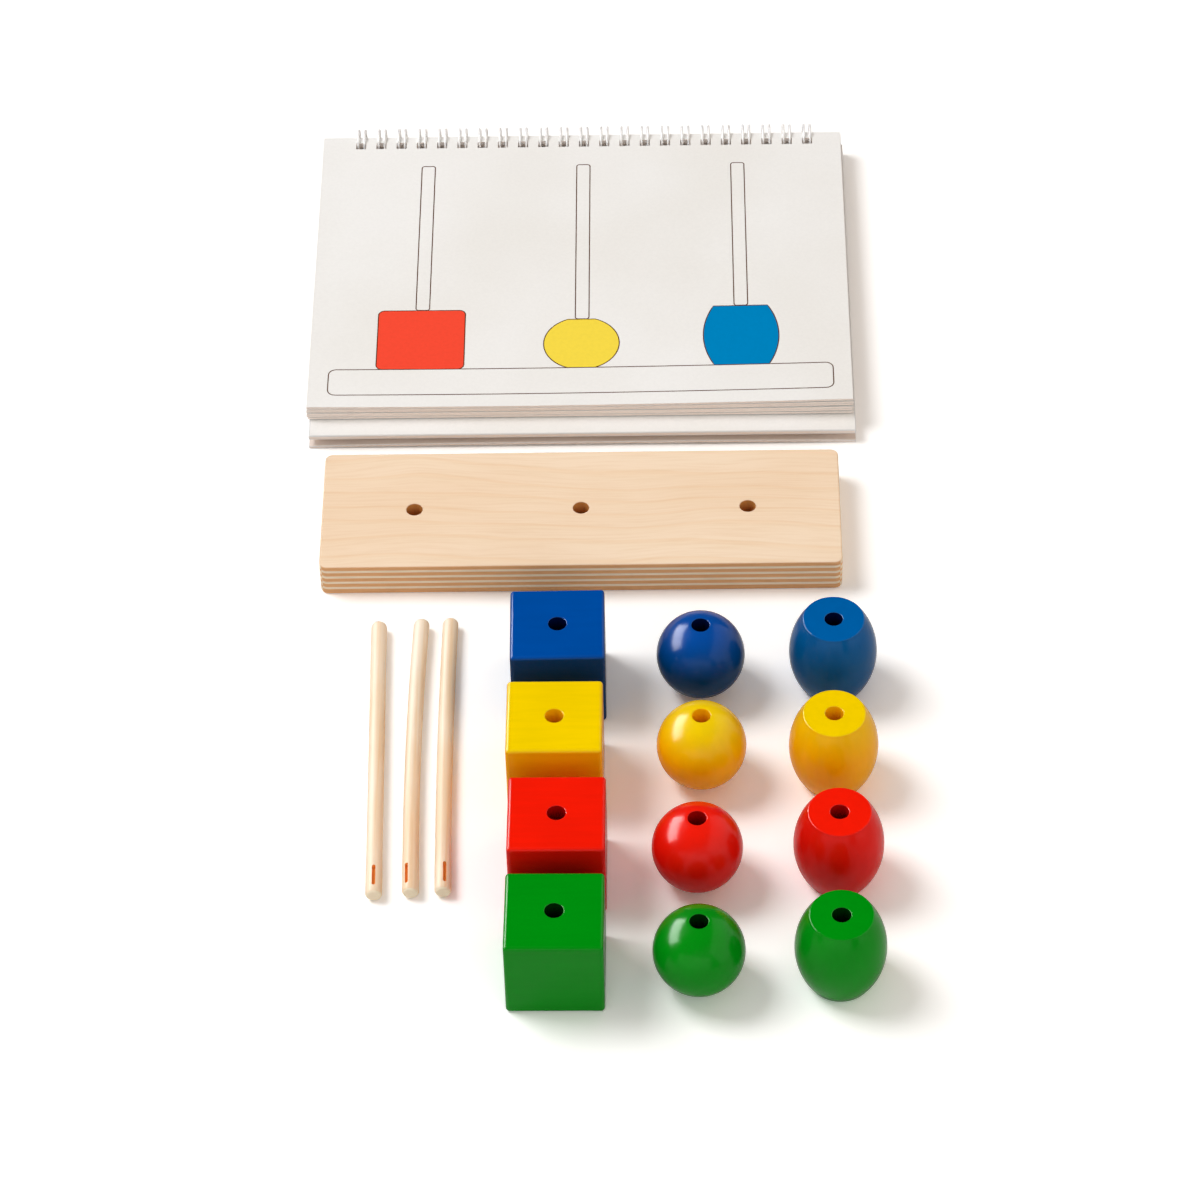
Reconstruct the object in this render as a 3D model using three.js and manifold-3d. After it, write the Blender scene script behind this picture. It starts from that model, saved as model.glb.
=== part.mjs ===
// A tower building game, laid out loose on a table: a plywood base board, three pegs with split
// feet, four cubes, four balls and four barrels bored to go over the pegs, and a wire-bound easel
// booklet of pattern cards. Millimetres, +Z up. The origin is under the middle of the base board,
// with +X along its length and +Y towards the booklet.

import * as THREE from 'three';
import { RoundedBoxGeometry } from 'three/addons/geometries/RoundedBoxGeometry.js';
import { mergeVertices } from 'three/addons/utils/BufferGeometryUtils.js';
import Module from 'manifold-3d';

// Pegs: turned dowels, rounded at the tip and sawn through near the foot so that the foot springs
const PEG_DIAMETER = 6;
const PEG_LENGTH = 135;
const PEG_TIP_ROUNDING = 2.2;
const PEG_FOOT_CHAMFER = 0.8;
const PEG_FOOT_SWELL = 0.1;
const PEG_SLOT_WIDTH = 1.25;
const PEG_SLOT_LENGTH = 9.4;
const PEG_SLOT_SETBACK = 3;

// Base board: birch plywood with three blind peg holes
const BOARD_LENGTH = 200;
const BOARD_WIDTH = 61.6;
const BOARD_THICKNESS = 14.5;
const BOARD_CORNER_RADIUS = 3;
const BOARD_EDGE_EASING = 0.5;
const BOARD_HOLE_FLOOR = 2;
const BOARD_HOLE_SPACING = 64.3;
const BOARD_HOLE_CLEARANCE = 0.1;

// Beads: painted wood, all with the same bore
const BEAD_BORE_CLEARANCE = 0.6;
const CUBE_SIDE = 35.2;
const CUBE_EDGE_RADIUS = 1.4;
const BALL_DIAMETER = 33;
const BARREL_HEIGHT = 34.5;
const BARREL_RIM_DIAMETER = 22.6;
const BARREL_BELLY_DIAMETER = 32.8;

// Booklet: six leaves on an easel of two stiffer boards, all turning on one twin-loop wire
const LEAF_COUNT = 6;
const LEAF_WIDTH = 215.9;
const LEAF_DEPTH = 162.8;
const LEAF_THICKNESS = 0.9;
const LEAF_AIR = 0.15;
const LEAF_SIDE_SHIFT = -0.95;
const EASEL_SIDE_MARGIN = 0.15;
const EASEL_FRONT_THICKNESS = 2.2;
const EASEL_BACK_THICKNESS = 1.2;
const EASEL_AIR = 0.3;
const EASEL_FRONT_OVERHANG = 9.1;
const EASEL_BACK_OVERHANG = 9.9;
const EASEL_LIFT = THREE.MathUtils.degToRad(0.1);
const LEAF_FAN = THREE.MathUtils.degToRad(0.07);
const PUNCH_MARGIN = 2.7;
const WIRE_GAUGE = 1;
const WIRE_LOOPS = 23;
const WIRE_PITCH = 25.4 / 3;
const WIRE_TWIN_SPACING = 2.6;
const WIRE_REACH = 4.2;
const WIRE_PUNCH_CLEARANCE = 0.6;
const WIRE_SIDE_CLEARANCE = 0.3;
const WIRE_BEND = 0.9;
const WIRE_END = 1.5;
const WIRE_SPINE_ANGLE = THREE.MathUtils.degToRad(-60);
const WIRE_TIP_ANGLE = THREE.MathUtils.degToRad(276);
const WIRE_ARC_STEPS = 10;
const WIRE_SIDES = 5;

// How the loose pieces lie: clear spaces between them, then small hand-laid departures from the rows
const BOOKLET_SPACE = 18.05;
const BOOKLET_X = -0.1;
const FIRST_ROW_SPACE = 32.8;
const ROW_SPACE = 10.8;
const COLUMN_SPACE = 17;
const CUBE_COLUMN_X = -7.7;
const PEG_ROW_SPACE = 19.2;
const PEG_LANE_SPACE = 20.6;
const PEG_PITCH = 12.4;

const CUBE_NUDGES = [[-0.2, 0.3, 0.5], [-0.9, 0.2, -0.3], [0.3, -0.6, -0.4], [-0.1, 0, -0.6]];
const BALL_NUDGES = [[1.8, 1.3, 0], [1.6, 1.9, 0], [-0.5, -1.5, 0], [-0.4, -3.4, 0]];
const BARREL_NUDGES = [[1.3, 1.8, 0], [0.1, 0.6, 0], [0.5, -0.9, 0], [-0.3, -2.7, 0]];
const PEG_LIES = [
  { name: 'peg_right', nudge: [0, 1.3], lean: 0.23, roll: 13, bow: 0.7 },
  { name: 'peg_middle', nudge: [0.7, 1], lean: -0.08, roll: -28, bow: 1.15 },
  { name: 'peg_left', nudge: [-0.2, 0], lean: 1.17, roll: 0, bow: 0 },
];

const BEAD_PAINTS = { blue: 0x0046a5, yellow: 0xffd000, red: 0xee1c10, green: 0x0a8a1c };
const PLYWOOD = new THREE.MeshStandardMaterial({ color: 0xf0d3b2, roughness: 0.6, metalness: 0 });
const DOWEL = new THREE.MeshStandardMaterial({ color: 0xf7e0c4, roughness: 0.6, metalness: 0 });
const CARD = new THREE.MeshStandardMaterial({ color: 0xf0ece6, roughness: 0.7, metalness: 0 });
const WHITE_WIRE = new THREE.MeshStandardMaterial({ color: 0xf4f4f2, roughness: 0.35, metalness: 0.1 });

const ROUND_SEGMENTS = 20;

const wasm = await Module();
wasm.setup();

// Closed bodies for cutting: only positions, with shared corners merged
function solidOf(geometry) {
  const bare = geometry.index ? geometry.toNonIndexed() : geometry.clone();
  bare.deleteAttribute('normal');
  bare.deleteAttribute('uv');
  const merged = mergeVertices(bare, 1e-4);
  return new wasm.Manifold(new wasm.Mesh({
    numProp: 3,
    vertProperties: new Float32Array(merged.attributes.position.array),
    triVerts: new Uint32Array(merged.index.array),
  }));
}

function geometryOf(solid) {
  const mesh = solid.getMesh();
  const geometry = new THREE.BufferGeometry();
  geometry.setAttribute('position', new THREE.BufferAttribute(mesh.vertProperties, 3));
  geometry.setIndex(new THREE.BufferAttribute(mesh.triVerts, 1));
  return geometry;
}

function piece(name, geometry, material) {
  const mesh = new THREE.Mesh(geometry, material);
  mesh.name = name;
  return mesh;
}

const degrees = THREE.MathUtils.degToRad;

// Base board

const pegFootDiameter = PEG_DIAMETER + 2 * PEG_FOOT_SWELL;
const boardHoleDiameter = pegFootDiameter + BOARD_HOLE_CLEARANCE;

function roundedRectangle(width, depth, radius) {
  const shape = new THREE.Shape();
  const x = width / 2 - radius;
  const y = depth / 2 - radius;
  shape.absarc(x, y, radius, 0, Math.PI / 2);
  shape.absarc(-x, y, radius, Math.PI / 2, Math.PI);
  shape.absarc(-x, -y, radius, Math.PI, 1.5 * Math.PI);
  shape.absarc(x, -y, radius, 1.5 * Math.PI, 2 * Math.PI);
  return shape;
}

function baseBoard() {
  const slab = new THREE.ExtrudeGeometry(roundedRectangle(BOARD_LENGTH, BOARD_WIDTH, BOARD_CORNER_RADIUS), {
    depth: BOARD_THICKNESS - 2 * BOARD_EDGE_EASING,
    bevelThickness: BOARD_EDGE_EASING,
    bevelSize: BOARD_EDGE_EASING,
    bevelOffset: -BOARD_EDGE_EASING,
    bevelSegments: 1,
    curveSegments: 4,
  });
  slab.translate(0, 0, BOARD_EDGE_EASING);
  let solid = solidOf(slab);
  for (const side of [-1, 0, 1]) {
    const drill = new THREE.CylinderGeometry(
      boardHoleDiameter / 2, boardHoleDiameter / 2, BOARD_THICKNESS, ROUND_SEGMENTS);
    drill.rotateX(Math.PI / 2);
    drill.translate(side * BOARD_HOLE_SPACING, 0, BOARD_HOLE_FLOOR + BOARD_THICKNESS / 2);
    solid = solid.subtract(solidOf(drill));
  }
  return piece('base_board', geometryOf(solid), PLYWOOD);
}

// Pegs, each lying along Y with its foot towards -Y

function pegProfile() {
  const shaft = PEG_DIAMETER / 2;
  const foot = pegFootDiameter / 2;
  const swellEnd = PEG_SLOT_SETBACK + PEG_SLOT_LENGTH;
  const shaftEnd = PEG_LENGTH - PEG_TIP_ROUNDING;
  const profile = [
    new THREE.Vector2(0, 0),
    new THREE.Vector2(foot - PEG_FOOT_CHAMFER, 0),
    new THREE.Vector2(foot, PEG_FOOT_CHAMFER),
    new THREE.Vector2(foot, swellEnd),
  ];
  const rings = 6;
  for (let i = 0; i < rings; i += 1) {
    const along = swellEnd + PEG_DIAMETER + (shaftEnd - swellEnd - PEG_DIAMETER) * i / rings;
    profile.push(new THREE.Vector2(shaft, along));
  }
  const tipSteps = 4;
  for (let i = 0; i < tipSteps; i += 1) {
    const angle = Math.PI / 2 * i / tipSteps;
    profile.push(new THREE.Vector2(
      shaft - PEG_TIP_ROUNDING * (1 - Math.cos(angle)), shaftEnd + PEG_TIP_ROUNDING * Math.sin(angle)));
  }
  profile.push(new THREE.Vector2(shaft - PEG_TIP_ROUNDING, PEG_LENGTH), new THREE.Vector2(0, PEG_LENGTH));
  return profile;
}

// A seasoned dowel keeps a slight bend: bow is how far its middle lies towards -X
function bend(geometry, bow) {
  const position = geometry.attributes.position;
  for (let i = 0; i < position.count; i += 1) {
    const share = 2 * position.getY(i) / PEG_LENGTH - 1;
    position.setX(i, position.getX(i) - bow * (1 - share * share));
  }
  return geometry;
}

function peg({ name, nudge, lean, roll, bow }, lane) {
  const turned = solidOf(new THREE.LatheGeometry(pegProfile(), 12));
  const saw = new THREE.BoxGeometry(PEG_SLOT_WIDTH, PEG_SLOT_LENGTH, 2 * pegFootDiameter);
  saw.translate(0, PEG_SLOT_SETBACK + PEG_SLOT_LENGTH / 2, 0);
  const geometry = geometryOf(turned.subtract(solidOf(saw)));
  geometry.rotateY(degrees(roll));
  const mesh = piece(name, bend(geometry, bow), DOWEL);
  const laneX = CUBE_COLUMN_X - CUBE_SIDE / 2 - PEG_LANE_SPACE - pegFootDiameter / 2 - lane * PEG_PITCH;
  const footY = -BOARD_WIDTH / 2 - PEG_ROW_SPACE - PEG_LENGTH;
  mesh.position.set(laneX + nudge[0], footY + nudge[1], pegFootDiameter / 2);
  mesh.rotation.z = degrees(lean);
  return mesh;
}

// Beads, standing with their bores upright

const boreRadius = (PEG_DIAMETER + BEAD_BORE_CLEARANCE) / 2;

function cubeGeometry() {
  const block = new RoundedBoxGeometry(CUBE_SIDE, CUBE_SIDE, CUBE_SIDE, 2, CUBE_EDGE_RADIUS);
  const drill = new THREE.CylinderGeometry(boreRadius, boreRadius, 2 * CUBE_SIDE, ROUND_SEGMENTS);
  drill.rotateX(Math.PI / 2);
  const geometry = geometryOf(solidOf(block).subtract(solidOf(drill)));
  return geometry.translate(0, 0, CUBE_SIDE / 2);
}

// A turned bead: its outside from the lower rim to the upper one, then straight down the bore
function turnedBead(outside) {
  const top = outside[outside.length - 1].y;
  const bottom = outside[0].y;
  const profile = [
    new THREE.Vector2(boreRadius, bottom), ...outside,
    new THREE.Vector2(boreRadius, top), new THREE.Vector2(boreRadius, bottom),
  ];
  const distinct = profile.filter((point, i) => i === 0 || point.distanceTo(profile[i - 1]) > 1e-6);
  const geometry = new THREE.LatheGeometry(distinct, ROUND_SEGMENTS);
  return geometry.rotateX(Math.PI / 2).translate(0, 0, -bottom);
}

function ballGeometry() {
  const radius = BALL_DIAMETER / 2;
  const rim = Math.asin(boreRadius / radius);
  const steps = 10;
  const outside = [];
  for (let i = 0; i <= steps; i += 1) {
    const angle = Math.PI - rim - (Math.PI - 2 * rim) * i / steps;
    outside.push(new THREE.Vector2(radius * Math.sin(angle), radius * Math.cos(angle)));
  }
  return turnedBead(outside).translate(0, 0, radius * (1 - Math.cos(rim)));
}

function barrelGeometry() {
  const swell = (BARREL_BELLY_DIAMETER - BARREL_RIM_DIAMETER) / 2;
  const half = BARREL_HEIGHT / 2;
  const arc = (half * half + swell * swell) / (2 * swell);
  const reach = Math.asin(half / arc);
  const steps = 8;
  const outside = [];
  for (let i = 0; i <= steps; i += 1) {
    const angle = reach * (2 * i / steps - 1);
    outside.push(new THREE.Vector2(
      BARREL_BELLY_DIAMETER / 2 - arc * (1 - Math.cos(angle)), arc * Math.sin(angle)));
  }
  return turnedBead(outside);
}

const rowPitch = Math.max(CUBE_SIDE, BALL_DIAMETER, BARREL_BELLY_DIAMETER) + ROW_SPACE;
const firstRowY = -BOARD_WIDTH / 2 - FIRST_ROW_SPACE - CUBE_SIDE / 2;
const ballColumnX = CUBE_COLUMN_X + CUBE_SIDE / 2 + COLUMN_SPACE + BALL_DIAMETER / 2;
const barrelColumnX = ballColumnX + BALL_DIAMETER / 2 + COLUMN_SPACE + BARREL_BELLY_DIAMETER / 2;

function beadColumn(shape, geometry, columnX, nudges) {
  return Object.entries(BEAD_PAINTS).map(([paint, color], row) => {
    const [dx, dy, turn] = nudges[row];
    const gloss = new THREE.MeshStandardMaterial({ color, roughness: 0.25, metalness: 0 });
    const bead = piece(`${shape}_${paint}`, geometry, gloss);
    bead.position.set(columnX + dx, firstRowY - row * rowPitch + dy, 0);
    bead.rotation.z = degrees(turn);
    return bead;
  });
}

// Booklet: heights are measured from the wire's axis, on which everything in it turns

const easelWidth = LEAF_WIDTH + 2 * EASEL_SIDE_MARGIN;
const leavesHeight = LEAF_COUNT * LEAF_THICKNESS + (LEAF_COUNT - 1) * LEAF_AIR;
const bundleHeight = EASEL_BACK_THICKNESS + 2 * EASEL_AIR + EASEL_FRONT_THICKNESS + leavesHeight;
const bundleBottom = -bundleHeight / 2;
const easelFrontBottom = bundleBottom + EASEL_BACK_THICKNESS + EASEL_AIR;
const firstLeafBottom = easelFrontBottom + EASEL_FRONT_THICKNESS + EASEL_AIR;

const ringRadius = Math.hypot(bundleHeight / 2, WIRE_REACH);
const punchLength = ringRadius - WIRE_REACH + WIRE_GAUGE + 2 * WIRE_PUNCH_CLEARANCE;
const punchWidth = WIRE_TWIN_SPACING + WIRE_GAUGE + 2 * WIRE_SIDE_CLEARANCE;
const punchY = -(ringRadius + WIRE_REACH) / 2;
const backEdgeY = punchY + punchLength / 2 + PUNCH_MARGIN;

// The wire's bends are straight chords, so their corners stand a little outside the true ring
const arcStep = (WIRE_TIP_ANGLE - WIRE_SPINE_ANGLE) / WIRE_ARC_STEPS;
const wireRadius = 2 * ringRadius / (1 + Math.cos(arcStep / 2));
const wireAxisZ = wireRadius + WIRE_GAUGE / 2;
const easelReach = LEAF_DEPTH + EASEL_BACK_OVERHANG - backEdgeY;
const wireAxisY = BOARD_WIDTH / 2 + BOOKLET_SPACE + easelReach;

const loopX = (i) => (i - (WIRE_LOOPS - 1) / 2) * WIRE_PITCH;

function boxBetween(x0, x1, y0, y1, thickness) {
  const box = new THREE.BoxGeometry(x1 - x0, y1 - y0, thickness);
  return box.translate((x0 + x1) / 2, (y0 + y1) / 2, 0);
}

function punchedCard(width, thickness, overhang, sideShift) {
  const front = backEdgeY - LEAF_DEPTH - overhang;
  const sheet = boxBetween(sideShift - width / 2, sideShift + width / 2, front, backEdgeY, thickness);
  let solid = solidOf(sheet);
  for (let i = 0; i < WIRE_LOOPS; i += 1) {
    const punch = boxBetween(loopX(i) - punchWidth / 2, loopX(i) + punchWidth / 2,
      punchY - punchLength / 2, punchY + punchLength / 2, 2 * thickness);
    solid = solid.subtract(solidOf(punch));
  }
  return geometryOf(solid).translate(0, 0, thickness / 2);
}

// A card turned up from lying level by an angle at the wire
function hungCard(name, geometry, bottom, lift) {
  const hanger = new THREE.Group();
  hanger.rotation.x = -lift;
  hanger.add(piece(name, geometry.translate(0, 0, bottom), CARD));
  return hanger;
}

// One wire runs up each loop, turns at its tip, comes back beside itself and steps to the next loop
function wirePath() {
  const twin = WIRE_TWIN_SPACING / 2;
  const at = (x, angle) => new THREE.Vector3(x, wireRadius * Math.cos(angle), wireRadius * Math.sin(angle));
  const bendAngle = WIRE_BEND / wireRadius;
  const path = [at(loopX(0) - twin - WIRE_BEND - WIRE_END, WIRE_SPINE_ANGLE)];
  for (let i = 0; i < WIRE_LOOPS; i += 1) {
    const x = loopX(i);
    path.push(at(x - twin - WIRE_BEND, WIRE_SPINE_ANGLE), at(x - twin, WIRE_SPINE_ANGLE + bendAngle));
    for (let k = 1; k <= WIRE_ARC_STEPS; k += 1) {
      path.push(at(x - twin, WIRE_SPINE_ANGLE + k * arcStep));
    }
    for (const turn of [0.25, 0.5, 0.75]) {
      const angle = WIRE_TIP_ANGLE + twin * Math.sin(turn * Math.PI) / wireRadius;
      path.push(at(x - twin * Math.cos(turn * Math.PI), angle));
    }
    for (let k = WIRE_ARC_STEPS; k >= 1; k -= 1) {
      path.push(at(x + twin, WIRE_SPINE_ANGLE + k * arcStep));
    }
    path.push(at(x + twin, WIRE_SPINE_ANGLE + bendAngle), at(x + twin + WIRE_BEND, WIRE_SPINE_ANGLE));
  }
  path.push(at(loopX(WIRE_LOOPS - 1) + twin + WIRE_BEND + WIRE_END, WIRE_SPINE_ANGLE));
  return path;
}

// The least clear space between stretches of the wire that aren't next to each other along it
function leastSelfGap(path) {
  const samples = [];
  let along = 0;
  for (let i = 1; i < path.length; i += 1) {
    const length = path[i].distanceTo(path[i - 1]);
    for (let k = 0; k < 4; k += 1) {
      samples.push({ point: path[i - 1].clone().lerp(path[i], k / 4), along: along + length * k / 4 });
    }
    along += length;
  }
  let least = Infinity;
  samples.forEach((a, i) => {
    for (let j = i + 1; j < samples.length; j += 1) {
      const b = samples[j];
      if (b.along - a.along > 2 * WIRE_TWIN_SPACING) {
        least = Math.min(least, a.point.distanceTo(b.point));
      }
    }
  });
  return least - WIRE_GAUGE;
}

// A closed tube with a ring of corners at each point of the path, carried along without twisting
function tubeAlong(path, radius, sides) {
  const corners = [];
  const triangles = [];
  let across = new THREE.Vector3(0, 1, 0);
  path.forEach((point, i) => {
    const before = path[Math.max(i - 1, 0)];
    const after = path[Math.min(i + 1, path.length - 1)];
    const inward = point.clone().sub(before).normalize();
    const outward = after.clone().sub(point).normalize();
    const tangent = inward.add(outward).normalize();
    across = across.clone().addScaledVector(tangent, -across.dot(tangent)).normalize();
    const other = tangent.clone().cross(across);
    for (let k = 0; k < sides; k += 1) {
      const angle = 2 * Math.PI * k / sides;
      const corner = point.clone()
        .addScaledVector(across, radius * Math.cos(angle))
        .addScaledVector(other, radius * Math.sin(angle));
      corners.push(corner.x, corner.y, corner.z);
    }
  });
  for (let i = 0; i + 1 < path.length; i += 1) {
    for (let k = 0; k < sides; k += 1) {
      const a = i * sides + k;
      const b = i * sides + (k + 1) % sides;
      triangles.push(a, b, b + sides, a, b + sides, a + sides);
    }
  }
  const last = (path.length - 1) * sides;
  for (let k = 1; k + 1 < sides; k += 1) {
    triangles.push(0, k + 1, k, last, last + k, last + k + 1);
  }
  const geometry = new THREE.BufferGeometry();
  geometry.setAttribute('position', new THREE.Float32BufferAttribute(corners, 3));
  geometry.setIndex(triangles);
  return geometry;
}

function booklet() {
  const group = new THREE.Group();
  group.position.set(BOOKLET_X, wireAxisY, wireAxisZ);

  const path = wirePath();
  console.log(`least gap between the binding wire's own turns: ${leastSelfGap(path).toFixed(2)} mm`);
  group.add(piece('binding_wire', tubeAlong(path, WIRE_GAUGE / 2, WIRE_SIDES), WHITE_WIRE));

  // The back board hangs from the wire until its front edge meets the table
  const toFrontEdge = Math.hypot(easelReach, bundleBottom);
  const backSag = Math.asin(wireAxisZ / toFrontEdge) - Math.asin(-bundleBottom / toFrontEdge);
  group.add(hungCard('easel_back_board',
    punchedCard(easelWidth, EASEL_BACK_THICKNESS, EASEL_BACK_OVERHANG, 0), bundleBottom, -backSag));
  group.add(hungCard('easel_front_board',
    punchedCard(easelWidth, EASEL_FRONT_THICKNESS, EASEL_FRONT_OVERHANG, 0), easelFrontBottom, EASEL_LIFT));

  for (let i = 0; i < LEAF_COUNT; i += 1) {
    const bottom = firstLeafBottom + i * (LEAF_THICKNESS + LEAF_AIR);
    const lift = EASEL_LIFT + (i + 1) * LEAF_FAN;
    const leaf = punchedCard(LEAF_WIDTH, LEAF_THICKNESS, 0, LEAF_SIDE_SHIFT);
    group.add(hungCard(`leaf_${LEAF_COUNT - i}`, leaf, bottom, lift));
  }
  return group;
}

const game = new THREE.Group();
game.add(baseBoard(), ...PEG_LIES.map(peg), booklet());
game.add(...beadColumn('cube', cubeGeometry(), CUBE_COLUMN_X, CUBE_NUDGES));
game.add(...beadColumn('ball', ballGeometry(), ballColumnX, BALL_NUDGES));
game.add(...beadColumn('barrel', barrelGeometry(), barrelColumnX, BARREL_NUDGES));

export default game;
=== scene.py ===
"""Looks for a tower building game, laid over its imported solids, in metres with +Z up."""

import math

import bmesh
import bpy
from mathutils import Matrix, Vector


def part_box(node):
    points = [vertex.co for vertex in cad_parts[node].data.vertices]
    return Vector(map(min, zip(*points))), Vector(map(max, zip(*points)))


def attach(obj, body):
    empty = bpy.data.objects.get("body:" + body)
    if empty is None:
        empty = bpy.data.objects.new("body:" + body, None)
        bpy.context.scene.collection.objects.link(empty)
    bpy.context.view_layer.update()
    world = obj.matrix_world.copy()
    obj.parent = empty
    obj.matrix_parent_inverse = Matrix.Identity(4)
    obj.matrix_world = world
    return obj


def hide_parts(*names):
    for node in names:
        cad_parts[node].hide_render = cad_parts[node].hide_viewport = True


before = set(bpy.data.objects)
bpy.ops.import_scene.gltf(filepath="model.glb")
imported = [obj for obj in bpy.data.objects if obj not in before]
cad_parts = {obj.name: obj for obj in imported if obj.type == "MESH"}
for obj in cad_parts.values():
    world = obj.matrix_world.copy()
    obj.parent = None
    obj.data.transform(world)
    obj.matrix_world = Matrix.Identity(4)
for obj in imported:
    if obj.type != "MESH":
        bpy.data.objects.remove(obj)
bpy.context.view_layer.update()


# Base board: birch plywood, sawn, sanded and left clear, with its face grain along the length.
# The edges are eased, the corners rounded on a sander, and the peg holes drilled short of the foot.

board_low, board_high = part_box("base_board")
BOARD_CORNER = 0.003
BOARD_EASE = 0.0007
PLY_LINES = (0.222, 0.42, 0.623, 0.825)
HOLE_PLACES = (-0.0643, 0.0, 0.0643)
HOLE_RADIUS = 0.00315
HOLE_EASE = 0.0003
HOLE_FLOOR = 0.002


def tint(red, green, blue):
    """A colour as it looks on screen, 0 to 255, in the linear values that a shader takes."""
    channels = []
    for value in (red, green, blue):
        share = value / 255
        channels.append(share / 12.92 if share <= 0.04045 else ((share + 0.055) / 1.055) ** 2.4)
    return (*channels, 1.0)


def node(tree, kind, inputs=None, **settings):
    """Adds a node; inputs are values, or sockets to link from, by name or by place."""
    made = tree.nodes.new(kind)
    for key, value in settings.items():
        setattr(made, key, value)
    for key, value in (inputs or {}).items():
        if isinstance(value, bpy.types.NodeSocket):
            tree.links.new(value, made.inputs[key])
        else:
            made.inputs[key].default_value = value
    return made


def blank_finish(name):
    """A new material, with its tree, its surface shader and the piece's own coordinates."""
    finish = bpy.data.materials.new(name)
    finish.use_nodes = True
    tree = finish.node_tree
    surface = tree.nodes["Principled BSDF"]
    place = node(tree, "ShaderNodeTexCoord").outputs["Object"]
    return finish, tree, surface, place


def stretched(tree, place, scale, turn=0.0):
    """The piece's coordinates scaled along each axis, for grain that runs one way."""
    mapping = {"Vector": place, "Scale": scale, "Rotation": (0, 0, turn)}
    return node(tree, "ShaderNodeMapping", mapping).outputs[0]


def ramp(tree, factor, stops):
    """A colour ramp from (place, colour) stops."""
    made = node(tree, "ShaderNodeValToRGB", {"Fac": factor})
    band = made.color_ramp
    while len(band.elements) < len(stops):
        band.elements.new(0.5)
    for element, (position, colour) in zip(band.elements, stops):
        element.position = position
        element.color = colour
    return made.outputs["Color"]


def mixed(tree, factor, first, second, blend="MIX"):
    """Two colours mixed, each a colour or a socket."""
    made = node(tree, "ShaderNodeMix", {0: factor, 6: first, 7: second}, data_type="RGBA", blend_type=blend)
    return made.outputs[2]


def lathe(name, profile, steps, closed=False):
    """A turned shape about Z from (radius, height) points that run up its outside."""
    shape = bmesh.new()
    rings = []
    for radius, height in profile:
        if radius < 1e-9:
            rings.append([shape.verts.new((0, 0, height))])
            continue
        turns = [2 * math.pi * k / steps for k in range(steps)]
        rings.append([shape.verts.new((radius * math.cos(a), radius * math.sin(a), height)) for a in turns])
    pairs = list(zip(rings, rings[1:]))
    if closed:
        pairs.append((rings[-1], rings[0]))
    for low, high in pairs:
        for k in range(steps):
            after = (k + 1) % steps
            if len(low) == 1:
                shape.faces.new((low[0], high[after], high[k]))
            elif len(high) == 1:
                shape.faces.new((low[k], low[after], high[0]))
            else:
                shape.faces.new((low[k], low[after], high[after], high[k]))
    mesh = bpy.data.meshes.new(name)
    shape.to_mesh(mesh)
    shape.free()
    return mesh


def eased_slab(name, low, high, corner, ease):
    """A slab between two corners of its box, with rounded upright corners and eased edges."""
    centre = (low + high) / 2
    half = (high - low) / 2
    levels = []
    for k in range(5):
        angle = math.pi / 2 * k / 4
        levels.append((ease * (1 - math.sin(angle)), low.z + ease * (1 - math.cos(angle))))
    levels += [(inset, low.z + high.z - height) for inset, height in reversed(levels)]
    shape = bmesh.new()
    rings = []
    for inset, height in levels:
        ring = []
        for quarter, (sx, sy) in enumerate(((1, 1), (-1, 1), (-1, -1), (1, -1))):
            for k in range(9):
                angle = math.pi / 2 * (quarter + k / 8)
                radius = corner - inset
                x = centre.x + sx * (half.x - corner) + radius * math.cos(angle)
                y = centre.y + sy * (half.y - corner) + radius * math.sin(angle)
                ring.append(shape.verts.new((x, y, height)))
        rings.append(ring)
    for lower, upper in zip(rings, rings[1:]):
        for k in range(len(lower)):
            after = (k + 1) % len(lower)
            shape.faces.new((lower[k], lower[after], upper[after], upper[k]))
    shape.faces.new(list(reversed(rings[0])))
    shape.faces.new(rings[-1])
    bmesh.ops.remove_doubles(shape, verts=shape.verts, dist=1e-7)
    mesh = bpy.data.meshes.new(name)
    shape.to_mesh(mesh)
    shape.free()
    return mesh


def smoothed(mesh, crease):
    """Shades smooth over edges shallower than the crease angle, but keeps the flat faces flat."""
    mesh.shade_smooth()
    mesh.set_sharp_from_angle(angle=math.radians(crease))
    beside = {}
    for face in mesh.polygons:
        flat = max(abs(share) for share in face.normal) > 0.99999
        for key in face.edge_keys:
            beside.setdefault(key, set()).add(flat)
    for edge in mesh.edges:
        if len(beside.get(edge.key, ())) == 2:
            edge.use_edge_sharp = True


def shown(name, mesh, finish, crease=35):
    """Puts a mesh in the scene with its finish."""
    piece = bpy.data.objects.new(name, mesh)
    bpy.context.scene.collection.objects.link(piece)
    if finish:
        mesh.materials.clear()
        mesh.materials.append(finish)
    smoothed(mesh, crease)
    return piece


def carved(piece, cutters, crease=35):
    """Cuts the cutter meshes out of a piece and leaves a plain mesh."""
    tools = [shown("cutter", cutter, None) for cutter in cutters]
    for tool in tools:
        cut = piece.modifiers.new("cut", "BOOLEAN")
        cut.operation = "DIFFERENCE"
        cut.solver = "EXACT"
        cut.object = tool
    bpy.context.view_layer.update()
    plain = bpy.data.meshes.new_from_object(piece.evaluated_get(bpy.context.evaluated_depsgraph_get()))
    piece.modifiers.clear()
    piece.data = plain
    for tool in tools:
        bpy.data.objects.remove(tool)
    smoothed(plain, crease)
    return piece


def eased_mouth(radius, ease, top):
    """The profile, running up to top, of a drill that leaves a rounded rim there."""
    points = []
    for k in range(6):
        angle = math.pi / 2 * k / 5
        points.append((radius + ease * (1 - math.cos(angle)), top - ease * (1 - math.sin(angle))))
    return points + [(radius + ease, top + 0.001), (0, top + 0.001)]


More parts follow.
